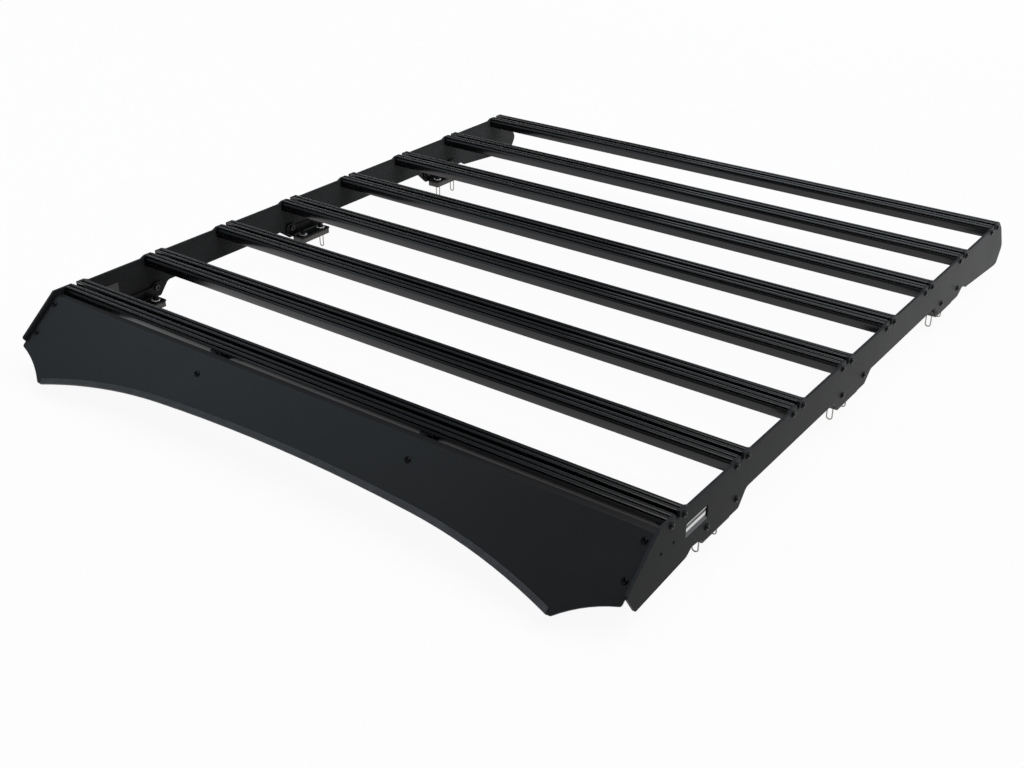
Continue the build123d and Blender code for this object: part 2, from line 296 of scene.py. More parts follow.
    @staticmethod
    def spread(model: Piece, name: str, places: Iterable[Matrix], slot: Slot, coat: Material) -> Piece:
        """Copy a model to each of its places, throw it away, and join and finish the copies.

        Args:
            model: The piece to copy.
            name: The joined piece's name.
            places: Where each copy stands.
            slot: The record's slot meant for its finish; passed on, but not used.
            coat: Its material.

        Returns:
            The joined piece.
        """
        copies = [Bench.copied(model, place) for place in places]
        bpy.data.objects.remove(model)
        piece = Bench.join(name, copies)
        Bench.finish(piece, slot, coat)
        return piece

    @staticmethod
    def finish(piece: Piece, slot: Slot, coat: Material) -> None:
        """Smooth and paint a new piece, and let it ride on the rack.

        Args:
            piece: The finished piece.
            slot: The record's slot meant for its finish; passed on, but not used.
            coat: Its material.
        """
        Bench.only(piece)
        bpy.ops.object.shade_smooth_by_angle(angle=SMOOTH_ANGLE)
        piece.data.materials.clear()
        piece.data.materials.append(coat)
        Bench.ride(piece, slot)

    @staticmethod
    def ride(piece: Piece, slot: Slot) -> None:
        """Let a painted piece ride on the rack, and report it.

        Args:
            piece: The painted piece.
            slot: The record's slot meant for its finish; not used.
        """
        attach(piece, BODY)
        log.info("piece %s: %d faces", piece.name, len(piece.data.polygons))

    @staticmethod
    def dress(node: str, coat: Material, rounding: float) -> None:
        """Paint one of the frame's nodes and round its edges with live modifiers.

        Args:
            node: The node's name.
            coat: Its material.
            rounding: The width of its rounded edges.
        """
        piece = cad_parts[node]
        piece.material_slots[0].material = coat
        Bench.give(piece, "weld", "WELD", merge_threshold=WELD_GAP)
        Bench.give(piece, "whole_flats", "DECIMATE", decimate_type="DISSOLVE", angle_limit=FLAT_ANGLE)
        unforced = {"use_clamp_overlap": False, "loop_slide": False}
        Bench.give(piece, "edge_rounding", "BEVEL", width=rounding, **ROUNDED, **unforced)
        Bench.give(piece, "even_flats", "WEIGHTED_NORMAL", keep_sharp=True)
        log.info("node %s: %s", node, coat.name)


def seat(point: Vector, normal: Vector, turn: float = 0.0) -> Matrix:
    """The place of a fastener with its foot at a point, its axis along a normal, and a turn about it."""
    stand = normal.to_track_quat("Z", "Y").to_matrix().to_4x4()
    return Matrix.Translation(point) @ stand @ Matrix.Rotation(turn, 4, "Z")


def middle(node: str) -> Vector:
    """The middle of one of the frame's nodes."""
    low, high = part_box(node)
    return (low + high) / 2


def slat_top(number: int = 1) -> Vector:
    """The middle of the top of one of the slats."""
    node = f"slat_{number}"
    return Vector((0, middle(node).y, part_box(node)[1].z))


def scaled(radius: float, height: float, shape: Iterable[Span]) -> list[Span]:
    """The rings of a turned shape that is given in shares of a radius and a height."""
    return [(radius * across, height * up) for across, up in shape]


def add_node(
    tree: bpy.types.NodeTree, kind: str, inputs: dict[str | int, object], **settings: object
) -> bpy.types.Node:
    """Add a shader node to a tree.

    Args:
        tree: The tree to add it to.
        kind: The node's type, without the words that every type starts with.
        inputs: What each input gets, by name or number: a socket, a colour or another even value.
        settings: The node's own settings by name.

    Returns:
        The node.
    """
    node = tree.nodes.new(f"ShaderNode{kind}")
    for setting, value in settings.items():
        setattr(node, setting, value)
    for socket, value in inputs.items():
        if isinstance(value, Socket):
            tree.links.new(value, node.inputs[socket])
        else:
            node.inputs[socket].default_value = (*value, 1) if isinstance(value, tuple) else value
    return node


class FinishGraph:
    """A material's node tree, with short calls for the nodes that the finishes share."""

    def __init__(self, name: str, roughness: float, ior: float, metal: float = 0.0) -> None:
        """Start a material with its even values.

        Args:
            name: The material's name.
            roughness: The roughness of its shader.
            ior: The refractive index of its shader.
            metal: How metallic it is.
        """
        self.material = bpy.data.materials.new(name)
        self.material.use_nodes = True
        self.tree = self.material.node_tree
        self.shader = self.tree.nodes["Principled BSDF"]
        self.shader.inputs["Roughness"].default_value = roughness
        self.shader.inputs["IOR"].default_value = ior
        self.shader.inputs["Metallic"].default_value = metal
        own = self.node("TexCoord", {}).outputs
        self.place, self.normal = own["Object"], own["Normal"]

    def node(self, kind: str, inputs: dict[str | int, object], **settings: object) -> bpy.types.Node:
        """Add a node to the material's tree."""
        return add_node(self.tree, kind, inputs, **settings)

    def stretched(self, scale: Vector) -> Socket:
        """The piece's own coordinates, stretched along each axis by a scale."""
        return self.node("Mapping", {"Scale": scale, "Vector": self.place}).outputs["Vector"]

    def noise(self, scale: float, detail: float, place: Socket | None = None) -> Socket:
        """A noise from 0 to 1, with its patches to a metre, its finer layers and what it reads."""
        inputs = {"Scale": scale, "Detail": detail, "Vector": place or self.place}
        return self.node("TexNoise", inputs).outputs["Fac"]

    def ranged(self, value: Socket, source: Span, target: Span = WHOLE) -> Socket:
        """A value moved from one range to another, and held inside it."""
        inputs = dict(enumerate((value, *source, *target)))
        return self.node("MapRange", inputs).outputs["Result"]

    def mixed(self, share: Socket, first: Colour | Socket, second: Colour | Socket) -> Socket:
        """Two colours mixed, with a share of the second one."""
        return self.node("Mix", {0: share, 6: first, 7: second}, data_type="RGBA").outputs[2]

    def edges(self, reach: float) -> Socket:
        """A mask that is 1 along the piece's sharp edges and 0 on its flats.

        Args:
            reach: How far the mask spreads from an edge.

        Returns:
            The mask.
        """
        rounded = self.node("Bevel", {"Radius": reach}).outputs["Normal"]
        modelled = self.node("NewGeometry", {}).outputs["Normal"]
        likeness = self.node("VectorMath", {0: rounded, 1: modelled}, operation="DOT_PRODUCT")
        return self.ranged(likeness.outputs["Value"], (0.99, 0.85))

    def upper_edges(self) -> Socket:
        """A painted highlight mask: 1 on the edges of an upright plate that face up, and 0 on its faces."""
        upwards = self.node("SeparateXYZ", {"Vector": self.normal}).outputs["Z"]
        return self.ranged(upwards, (0.2, 0.6))

    def rearwards(self, span: Span) -> Socket:
        """A mask that rises from 0 to 1 over a span along the vehicle."""
        along = self.node("SeparateXYZ", {"Vector": self.place}).outputs["Y"]
        return self.ranged(along, span)

    def finished(
        self, colour: Socket, roughness: Socket, relief: Socket, strength: float, depth: float
    ) -> Material:
        """Give the shader its colour, its roughness and its relief.

        Args:
            colour: The colour.
            roughness: The roughness.
            relief: The pattern of the relief.
            strength: How much of the relief shows.
            depth: How deep it is.

        Returns:
            The material.
        """
        bump = self.node("Bump", {"Strength": strength, "Distance": depth, "Height": relief})
        self.tree.links.new(colour, self.shader.inputs["Base Color"])
        self.tree.links.new(roughness, self.shader.inputs["Roughness"])
        self.tree.links.new(bump.outputs["Normal"], self.shader.inputs["Normal"])
        return self.material


@dataclass(frozen=True)
class PowderCoat:
    """A satin black powder coat, with fine grains, a drift of tone and thinner edges, plus an optional
    painted highlight on faces that face up and an optional painted reflection that lightens it towards the
    rear.
    """

    name: str
    dark: Colour = (0.0016, 0.0018, 0.0021)
    light: Colour = (0.0030, 0.0033, 0.0037)
    worn: Colour = (0.017, 0.018, 0.020)
    roughness: float = 0.40
    roughness_swing: float = 0.04
    ior: float = 1.5
    drift_scale: float = 7.0
    grain_scale: float = 1300.0
    grain_share: float = 0.6
    grain_strength: float = 0.35
    grain_depth: float = 0.00006
    edge_reach: float = 0.0008
    edge_share: float = 0.7
    # cut is the colour of a painted highlight on faces that face up.
    cut: Colour | None = None
    painted_rear_reflection: Colour | None = None
    rear_reflection_span: Span = (-0.75, 0.75)
    streaks: Vector | None = None

    def material(self) -> Material:
        """The coat as a material."""
        graph = FinishGraph(self.name, self.roughness, self.ior)
        place = graph.stretched(self.streaks) if self.streaks else None
        drift = graph.noise(self.drift_scale, 4, place)
        grain = graph.noise(self.grain_scale, 2)
        tone = graph.mixed(graph.ranged(drift, (0.35, 0.65)), self.dark, self.light)
        coat = graph.mixed(graph.ranged(grain, (0.45, 0.75), (0, self.grain_share)), tone, self.light)
        # Painted reflection: the coat is lightened towards the rear, standing in for the brighter
        # reflection there.
        if self.painted_rear_reflection:
            coat = graph.mixed(graph.rearwards(self.rear_reflection_span), coat, self.painted_rear_reflection)
        wear = graph.ranged(graph.edges(self.edge_reach), WHOLE, (0, self.edge_share))
        coat = graph.mixed(wear, coat, self.worn)
        # Painted highlight: faces that face up are lightened, standing in for the light they catch from
        # above.
        if self.cut:
            coat = graph.mixed(graph.upper_edges(), coat, self.cut)
        swing = (self.roughness - self.roughness_swing, self.roughness + self.roughness_swing)
        roughness = graph.ranged(drift, (0.3, 0.7), swing)
        return graph.finished(coat, roughness, grain, self.grain_strength, self.grain_depth)


@dataclass(frozen=True)
class MouldedRubber:
    """A matt moulded rubber, with a dusty bloom and fine pores."""

    name: str
    dark: Colour
    light: Colour
    roughness: float = 0.62
    roughness_span: Span = (0.56, 0.70)
    ior: float = 1.4
    bloom_scale: float = 60.0
    pore_scale: float = 900.0
    pore_strength: float = 0.4
    pore_depth: float = 0.00015

    def material(self) -> Material:
        """The rubber as a material."""
        graph = FinishGraph(self.name, self.roughness, self.ior)
        bloom = graph.noise(self.bloom_scale, 5)
        pores = graph.noise(self.pore_scale, 2)
        colour = graph.mixed(graph.ranged(bloom, (0.35, 0.7)), self.dark, self.light)
        roughness = graph.ranged(bloom, (0.3, 0.7), self.roughness_span)
        return graph.finished(colour, roughness, pores, self.pore_strength, self.pore_depth)


@dataclass(frozen=True)
class Steel:
    """A bare, plated or blackened metal, with faint tool marks and rubbed edges."""

    name: str
    dark: Colour
    light: Colour
    rubbed: Colour
    roughness: float
    roughness_swing: float = 0.08
    metal: float = 1.0
    ior: float = 1.5
    mark_scale: float = 500.0
    mark_strength: float = 0.2
    mark_depth: float = 0.00004
    edge_reach: float = 0.0005
    marks: Vector = field(default_factory=lambda: Vector((1, 1, 1)))

    def material(self) -> Material:
        """The metal as a material."""
        graph = FinishGraph(self.name, self.roughness, self.ior, self.metal)
        marks = graph.noise(self.mark_scale, 4, graph.stretched(self.marks))
        tone = graph.mixed(graph.ranged(marks, (0.3, 0.7)), self.dark, self.light)
        colour = graph.mixed(graph.edges(self.edge_reach), tone, self.rubbed)
        swing = (self.roughness - self.roughness_swing, self.roughness + self.roughness_swing)
        roughness = graph.ranged(marks, (0.3, 0.7), swing)
        return graph.finished(colour, roughness, marks, self.mark_strength, self.mark_depth)


class Finishes:
    """The rack's materials, each made once."""

    def __init__(self) -> None:
        """Make every material."""
        lengthways = Vector((0.02, 6, 6))
        self.rail = PowderCoat(
            "rail_powder_coat",
            dark=(0.0115, 0.0120, 0.0125),
            light=(0.0155, 0.0160, 0.0168),
            worn=(0.026, 0.027, 0.029),
            # Painted highlight on the rail's up-facing edges.
            cut=(0.030, 0.033, 0.037),
            # Painted reflection: the rail is lightened towards its rear.
            painted_rear_reflection=(0.046, 0.047, 0.048),
            roughness=0.32,
            ior=1.08,
        ).material()
        self.slat = PowderCoat(
            "slat_powder_coat",
            roughness=0.22,
            grain_depth=0.00002,
            drift_scale=30,
            streaks=lengthways,
        ).material()
        self.fairing = PowderCoat("fairing_powder_coat").material()
        self.bracket = PowderCoat("bracket_paint", roughness=0.32, ior=1.2).material()
        self.trim = MouldedRubber(
            "edge_trim_rubber", dark=(0.038, 0.041, 0.045), light=(0.054, 0.058, 0.062)
        ).material()
        self.pad = MouldedRubber(
            "foot_pad_rubber", dark=(0.085, 0.078, 0.070), light=(0.130, 0.120, 0.108)
        ).material()
        self.bolt = Steel(
            "blackened_bolt_steel",
            dark=(0.0025, 0.0025, 0.003),
            light=(0.005, 0.005, 0.0055),
            rubbed=(0.03, 0.03, 0.032),
            roughness=0.15,
            metal=0.0,
            ior=1.22,
        ).material()
        self.nut = Steel(
            "dull_nut_steel",
            dark=(0.006, 0.006, 0.007),
            light=(0.011, 0.011, 0.012),
            rubbed=(0.05, 0.05, 0.053),
            roughness=0.24,
            metal=0.0,
        ).material()
        self.zinc = Steel(
            "zinc_plated_steel",
            dark=(0.52, 0.53, 0.55),
            light=(0.70, 0.71, 0.72),
            rubbed=(0.82, 0.82, 0.82),
            roughness=0.28,
            metal=0.3,
        ).material()
        self.wire = Steel(
            "drawn_wire_steel",
            dark=(0.20, 0.19, 0.18),
            light=(0.34, 0.33, 0.31),
            rubbed=(0.5, 0.48, 0.46),
            roughness=0.25,
            marks=Vector((4, 4, 0.2)),
        ).material()
        self.plate = PowderCoat("name_plate_satin", roughness=0.3).material()
        # Painted highlight: a lighter coat for the plate's up-sloping ledge, standing in for the light it
        # catches from above.
        self.ledge = PowderCoat(
            "name_plate_ledge", dark=(0.060, 0.064, 0.070), light=(0.085, 0.090, 0.098)
        ).material()
        self.strip = Steel(
            "brushed_plate_strip",
            dark=(0.55, 0.55, 0.56),
            light=(0.75, 0.75, 0.76),
            rubbed=(0.85, 0.85, 0.85),
            roughness=0.32,
            marks=Vector((1, 0.05, 6)),
        ).material()


@dataclass
class Fasteners:
    """The rack's screws, nuts and studs, each modelled once on the Z axis with its seat at zero."""

    sides: int = 28
    head_radius: float = 0.00525
    head_height: float = 0.0033
    socket_flats: float = 0.004
    socket_depth: float = 0.0021
    nut_flats: float = 0.010
    nut_height: float = 0.0045
    collar_height: float = 0.0064
    thread_radius: float = 0.003
    thread_pitch: float = 0.001
    thread_depth: float = 0.0004
    low_nut_radius: float = 0.006
    low_nut_height: float = 0.0035
    washer_radius: float = 0.0085
    washer_height: float = 0.0016

    def hexagon(self, name: str, flats: float, low: float, high: float) -> Piece:
        """A plain hexagonal bar with its width across flats and the heights of its ends."""
        corner = flats / math.sqrt(3)
        return Bench.turned(name, [(corner, low), (corner, high)], 6)

    def button_head(self) -> Piece:
        """A domed bolt head with a hexagonal socket."""
        radius, height = self.head_radius, self.head_height
        rim = ((0.95, 0), (1, 0.06), (1, 0.25))
        dome = ((0.97, 0.42), (0.90, 0.64), (0.80, 0.83), (0.68, 0.96), (0.58, 1))
        head = Bench.turned("button_head", scaled(radius, height, rim + dome), self.sides)
        socket = self.hexagon("socket", self.socket_flats, height - self.socket_depth, height * 2)
        Bench.cut(head, socket)
        return head

    def thread(self, low: float, high: float) -> Piece:
        """A threaded end with a chamfered tip.

        Args:
            low: The height where the thread starts.
            high: The height of its tip.

        Returns:
            The threaded end.
        """
        root = self.thread_radius - self.thread_depth
        rings = [(root, low)]
        height = low
        while height + self.thread_pitch < high:
            rings.append((self.thread_radius, height + self.thread_pitch / 2))
            rings.append((root, height + self.thread_pitch))
            height += self.thread_pitch
        rings.append((root * 0.8, high))
        return Bench.turned("thread", rings, self.sides)

    def chamfered_nut(self) -> Piece:
        """A hexagonal nut whose corners are turned off at both ends."""
        corner = self.nut_flats / math.sqrt(3)
        inner = self.nut_flats / 2
        chamfer = (corner - inner) * 0.8
        rings = [
            (inner, 0),
            (corner, chamfer),
            (corner, self.nut_height - chamfer),
            (inner, self.nut_height),
        ]
        nut = self.hexagon("nut", self.nut_flats, -self.nut_height, self.nut_height * 2)
        Bench.cut(nut, Bench.turned("nut_turning", rings, self.sides), keep_inside=True)
        return nut

    def lock_nut(self) -> Piece:
        """A nut with a rounded collar, and the bolt's end standing in it."""
        collar_radius = self.nut_flats * 0.44
        rings = [
            (collar_radius, self.nut_height * 0.9),
            (collar_radius, self.collar_height * 0.85),
            (collar_radius * 0.9, self.collar_height),
            (self.thread_radius * 1.15, self.collar_height),
            (self.thread_radius * 1.1, self.collar_height - self.thread_pitch),
        ]
        collar = Bench.turned("collar", rings, self.sides)
        tip = self.thread(self.nut_height, self.collar_height + self.thread_pitch)
        return Bench.join("lock_nut", [self.chamfered_nut(), collar, tip])

    def low_nut(self) -> Piece:
        """A low round nut with a rounded rim, and an open bore down to the bolt's end."""
        radius, height = self.low_nut_radius, self.low_nut_height
        rim = scaled(radius, height, ((0.96, 0), (1, 0.12), (1, 0.60), (0.95, 0.85), (0.84, 1)))
        bore = scaled(self.thread_radius * 1.1, height, ((1.15, 1), (1, 0.92), (1, 0.30)))
        return Bench.turned("low_nut", rim + bore, self.sides)

    def stud_nut(self, above: float) -> Piece:
        """A nut with a stud that stands through it, so far above it."""
        tip = self.thread(self.nut_height * 0.8, self.nut_height + above)
        return Bench.join("stud_nut", [self.chamfered_nut(), tip])

    def washer(self) -> Piece:
        """A flat washer with broken edges."""
        edge = ((0.96, 0), (1, 0.2), (1, 0.8), (0.96, 1))
        return Bench.turned("washer", scaled(self.washer_radius, self.washer_height, edge), self.sides)


@dataclass
class SlatDeck:
    """The grooved slats across the rails, with two bolts in each end.

    Heights are measured from a slat's top, and offsets from its middle line.
    """

    finishes: Finishes
    fasteners: Fasteners
    count: int = 8
    rounding: float = 0.00015
    wall: float = 0.0022
    land_offset: float = 0.0217
    lip_height: float = -0.0009
    neck_offset: float = 0.0180
    ledge_offset: float = 0.0229
    ledge_height: float = -0.0033
    shoulder_height: float = -0.0062
    mouth_offset: float = 0.0045
    chamber_offset: float = 0.0085
    chamber_heights: Span = (-0.0095, -0.0025)
    groove_offset: float = 0.013
    groove_half: float = 0.0020
    groove_floor_half: float = 0.0015
    groove_height: float = -0.0026
    rib_height: float = -0.0145
    bolt_offset: float = 0.017
    bolt_drop: float = 0.0105

    def build(self) -> None:
        """Lay the slats in place of the frame's plainer ones and bolt them to the rails."""
        model = self.bar()
        for number in range(1, self.count + 1):
            copy = Bench.copied(model, Matrix.Translation(slat_top(number)))
            slat = Bench.join(f"grooved_slat_{number}", [copy])
            Bench.finish(slat, Slot.SLAT, self.finishes.slat)
            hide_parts(f"slat_{number}")
        bpy.data.objects.remove(model)
        for side in Side:
            self.bolt(side)

    def bar(self) -> Piece:
        """One slat with its top at zero: shoulders, lipped lands, T-slot, grooves and hollow inside."""
        low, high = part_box("slat_1")
        size = high - low
        bottom, half = -size.z, size.y / 2
        bar = self.run((-half, bottom), (half, self.ledge_height), size.x)
        with Bench.editing(bar):
            for hand in (-1, 1):
                bpy.ops.mesh.select_all(action="SELECT")
                fall = self.ledge_height - self.shoulder_height
                bpy.ops.mesh.bisect(
                    plane_co=(0, hand * self.ledge_offset, self.ledge_height),
                    plane_no=Vector((0, hand * fall, half - self.ledge_offset)).normalized(),
                    use_fill=True,
                    clear_outer=True,
                    threshold=WELD_GAP,
                )
            Bench.pick(bar, lambda corner: corner.z > self.ledge_height - WELD_GAP)
            width = self.ledge_offset
            for offset, rise in (
                (self.neck_offset, self.lip_height - self.ledge_height),
                (self.land_offset, -self.lip_height),
            ):
                bpy.ops.mesh.extrude_region_move()
                bpy.ops.transform.resize(value=(1, offset / width, 1))
                bpy.ops.mesh.extrude_region_move(TRANSFORM_OT_translate={"value": (0, 0, rise)})
                width = offset
            bpy.ops.mesh.select_all(action="SELECT")
            bpy.ops.mesh.dissolve_degenerate(threshold=WELD_GAP)
            bpy.ops.mesh.dissolve_limited(angle_limit=FLAT_ANGLE)
        self.hollow(bar, size.x, bottom, half)
        Bench.modify(bar, "BEVEL", width=self.rounding, **ROUNDED)
        return bar

    def run(self, front: Span, rear: Span, length: float) -> Piece:
        """A plain run along a slat.

        Args:
            front: The offset and height of its lower front edge.
            rear: The offset and height of its upper rear edge.
            length: Its length.

        Returns:
            The run.
        """
        size = Vector((length, rear[0] - front[0], rear[1] - front[1]))
        centre = Vector((0, rear[0] + front[0], rear[1] + front[1])) / 2
        return Bench.block("slat_run", size, centre)

    def hollow(self, bar: Piece, length: float, bottom: float, half: float) -> None:
        """Cut a slat's T-slot, grooves and hollows.

        Args:
            bar: The slat.
            length: Its length.
            bottom: The height of its underside.
            half: The offset of its sides.
        """
        past = length + self.wall
        floor, roof = self.chamber_heights
        inside = bottom + self.wall
        mouth, chamber = self.mouth_offset, self.chamber_offset
        Bench.cut(bar, self.run((-chamber, floor), (chamber, roof), past))
        Bench.cut(bar, self.run((-mouth, (floor + roof) / 2), (mouth, self.wall), past))
        Bench.cut(bar, self.run((-chamber, inside), (chamber, floor - self.wall), past))
        for hand in (-1, 1):
            near, far = sorted((hand * (chamber + self.wall), hand * (half - self.wall)))
            Bench.cut(bar, self.run((near, inside), (far, self.rib_height), past))
            offset, reach = hand * self.groove_offset, self.groove_half
            groove = self.run((offset - reach, self.groove_height), (offset + reach, 0), past)
            with Bench.editing(groove):
                Bench.pick(groove, lambda corner: corner.z < self.groove_height + WELD_GAP)
                bpy.ops.transform.resize(value=(1, self.groove_floor_half / reach, 1))
                Bench.pick(groove, lambda corner: corner.z > -WELD_GAP)
                bpy.ops.mesh.extrude_region_move(TRANSFORM_OT_translate={"value": (0, 0, self.wall)})
            Bench.cut(bar, groove)

    def bolt(self, side: Side) -> None:
        """Set the bolts of every slat end on one side.

        Args:
            side: The side to bolt.
        """
        face = side.face(side.rail, outer=True)
        places = []
        for number in range(1, self.count + 1):
            for offset in (-self.bolt_offset, self.bolt_offset):
                point = slat_top(number) + Vector((face, offset, -self.bolt_drop))
                places.append(seat(point, side.outwards, GOLDEN_TURN * len(places)))
        head = self.fasteners.button_head()
        Bench.spread(head, f"{side.label}_slat_bolts", places, Slot.BRACKET, self.finishes.bolt)


@dataclass
class SideRails:
    """The two cut side rails, each with a bare name plate behind its window."""

    finishes: Finishes
    rounding: float = 0.0005
    thickness: float = 0.005
    window_from_slat: float = 0.0562
    window_drop: float = 0.0442
    body_length: float = 0.0596
    body_height: float = 0.0221
    body_setback: float = 0.0021
    body_rounding: float = 0.0003
    ledge_height: float = 0.0042
    ledge_reach: float = 0.0019
    ledge_facing: float = 0.1
    flange_length: float = 0.066
    flange_height: float = 0.026
    flange_rise: float = 0.0008
    flange_thickness: float = 0.0016
    flange_rounding: float = 0.0004
    strip_length: float = 0.054
    strip_height: float = 0.0052
    strip_rise: float = -0.0009
    line_length: float = 0.058
    line_height: float = 0.0014
    line_rise: float = 0.0080
    relief: float = 0.0003

    def build(self) -> None:
        """Dress the rails and hang their name plates."""
        for side in Side:
            Bench.dress(side.rail, self.finishes.rail, self.rounding)
            self.name_plate(side)

    def window_middle(self, side: Side) -> Vector:
        """The middle of the window in a side's rail, on the rail's inner face."""
        inner = side.face(side.rail, outer=False)
        return slat_top() + Vector((inner, self.window_from_slat, -self.window_drop))

    def plate_body(self, side: Side) -> Piece:
        """The moulded body that fills a window, with a ledge that slopes out along its lower edge.

        Args:
            side: The rail's side.

        Returns:
            The body.
        """
        depth = self.thickness - self.body_setback
        centre = self.window_middle(side) + side.outwards * depth / 2
        size = Vector((depth, self.body_length, self.body_height))
        body = Bench.block(f"{side.label}_plate_body", size, centre)
        bottom = centre.z - self.body_height / 2
        crease = Vector((0, 0, bottom + self.ledge_height))
        reach = side.outwards * self.ledge_reach
        with Bench.editing(body):
            bpy.ops.mesh.bisect(plane_co=crease, plane_no=(0, 0, 1))
            front = centre.dot(side.outwards)
            Bench.pick(body, lambda spot: spot.dot(side.outwards) > front and spot.z < crease.z - WELD_GAP)
            bpy.ops.transform.translate(value=reach)
            bpy.ops.mesh.select_all(action="SELECT")
            bpy.ops.mesh.bevel(offset=self.body_rounding, segments=2, affect="EDGES")
        body.data.materials.append(self.finishes.plate)
        body.data.materials.append(self.finishes.ledge)
        # Outward faces below the crease take the lighter coat, a painted highlight.
        for face in body.data.polygons:
            if face.center.z < crease.z and face.normal.dot(side.outwards) > self.ledge_facing:
                face.material_index = 1
        return body

    def name_plate(self, side: Side) -> None:
        """Hang one bare plate, with a plain strip and a line where a name could stand.

        Args:
            side: The side to hang it on.
        """
        window = self.window_middle(side)
        flange = Bench.block(
            f"{side.label}_plate_flange",
            Vector((self.flange_thickness, self.flange_length, self.flange_height)),
            window + Vector((-side.value * self.flange_thickness / 2, 0, self.flange_rise)),
            self.flange_rounding,
        )
        flange.data.materials.append(self.finishes.plate)
        pieces = [flange, self.plate_body(side)]
        front = window + side.outwards * (self.thickness - self.body_setback)
        for rise, length, height in (
            (self.strip_rise, self.strip_length, self.strip_height),
            (self.line_rise, self.line_length, self.line_height),
        ):
            strip = Bench.block(
                f"{side.label}_plate_strip",
                Vector((self.relief * 2, length, height)),
                front + Vector((0, 0, rise)),
                self.relief / 2,
            )
            strip.data.materials.append(self.finishes.strip)
            pieces.append(strip)
        Bench.ride(Bench.join(f"{side.label}_name_plate", pieces), Slot.BRACKET)


@dataclass
class WindFairing:
    """The fairing plate with its edge trim, brackets, bolts and lock nuts."""

    finishes: Finishes
    fasteners: Fasteners
    rounding: float = 0.0006
    trim_rounding: float = 0.0005
    bracket_rounding: float = 0.0005
    lean: float = math.radians(39.5)
    front_edge_reach: float = 0.045
    setback: float = 0.0067
    thickness: float = 0.003
    bracket_plate: float = 0.003
    end_bolt_from_rail: float = 0.0115
    end_bolt_drops: Span = (0.0202, 0.0786)
    centre_bolt_drop: float = 0.0392
    slat_screw_drop: float = 0.0125
    screw_scale: float = 0.8

    def point(self, x: float, drop: float, behind: float) -> Vector:
        """A place on the slope of the fairing.

        Args:
            x: Its place across the vehicle.
            drop: How far it lies down the front edges of the rails.
            behind: How far it lies behind them.

        Returns:
            The place.
        """
        top = slat_top() + Vector((x, -self.front_edge_reach, 0))
        down = Vector((0, -math.cos(self.lean), -math.sin(self.lean)))
        return top + down * drop - self.facing * behind

    @property
    def facing(self) -> Vector:
        """The direction that the fairing's front faces."""
        return Vector((0, -math.sin(self.lean), math.cos(self.lean)))

    def bolt_places(self) -> list[Span]:
        """The place across the vehicle and the drop of every bolt in the fairing."""
        places = []
        for side in Side:
            end_x = side.face(side.rail, outer=False) - side.value * self.end_bolt_from_rail
            places.extend((end_x, drop) for drop in self.end_bolt_drops)
            places.append((middle(f"{side.label}_fairing_centre_bracket").x, self.centre_bolt_drop))
        return places

    def build(self) -> None:
        """Dress the fairing's nodes and set its fasteners."""
        Bench.dress("wind_fairing", self.finishes.fairing, self.rounding)
        Bench.dress("fairing_edge_trim", self.finishes.trim, self.trim_rounding)
        for side in Side:
            for bracket in ("end", "centre"):
                node = f"{side.label}_fairing_{bracket}_bracket"
                Bench.dress(node, self.finishes.bracket, self.bracket_rounding)
        back = self.setback + self.thickness + self.bracket_plate
        self.bolt(self.fasteners.button_head(), "fairing_bolts", self.setback, self.facing)
        self.bolt(self.fasteners.lock_nut(), "fairing_lock_nuts", back, -self.facing)
        self.slat_screws()

    def bolt(self, model: Piece, name: str, behind: float, axis: Vector) -> None:
        """Set one fastener at every bolt of the fairing.

        Args:
            model: The fastener.
            name: The name of the whole set.
            behind: How far behind the front edges of the rails it is seated.
            axis: The direction of its axis.
        """
        places = [
            seat(self.point(x, drop, behind), axis, GOLDEN_TURN * turn)
            for turn, (x, drop) in enumerate(self.bolt_places())
        ]
        Bench.spread(model, name, places, Slot.BRACKET, self.finishes.bolt)

    def slat_screws(self) -> None:
        """Set the screw that holds each centre bracket to the first slat."""
        forward = Vector((0, -1, 0))
        low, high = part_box("slat_1")
        places = []
        for side in Side:
            x = middle(f"{side.label}_fairing_centre_bracket").x
            point = Vector((x, low.y - self.bracket_plate, high.z - self.slat_screw_drop))
            places.append(seat(point, forward) @ Matrix.Scale(self.screw_scale, 4))
        head = self.fasteners.button_head()
        Bench.spread(head, "centre_bracket_screws", places, Slot.BRACKET, self.finishes.bolt)


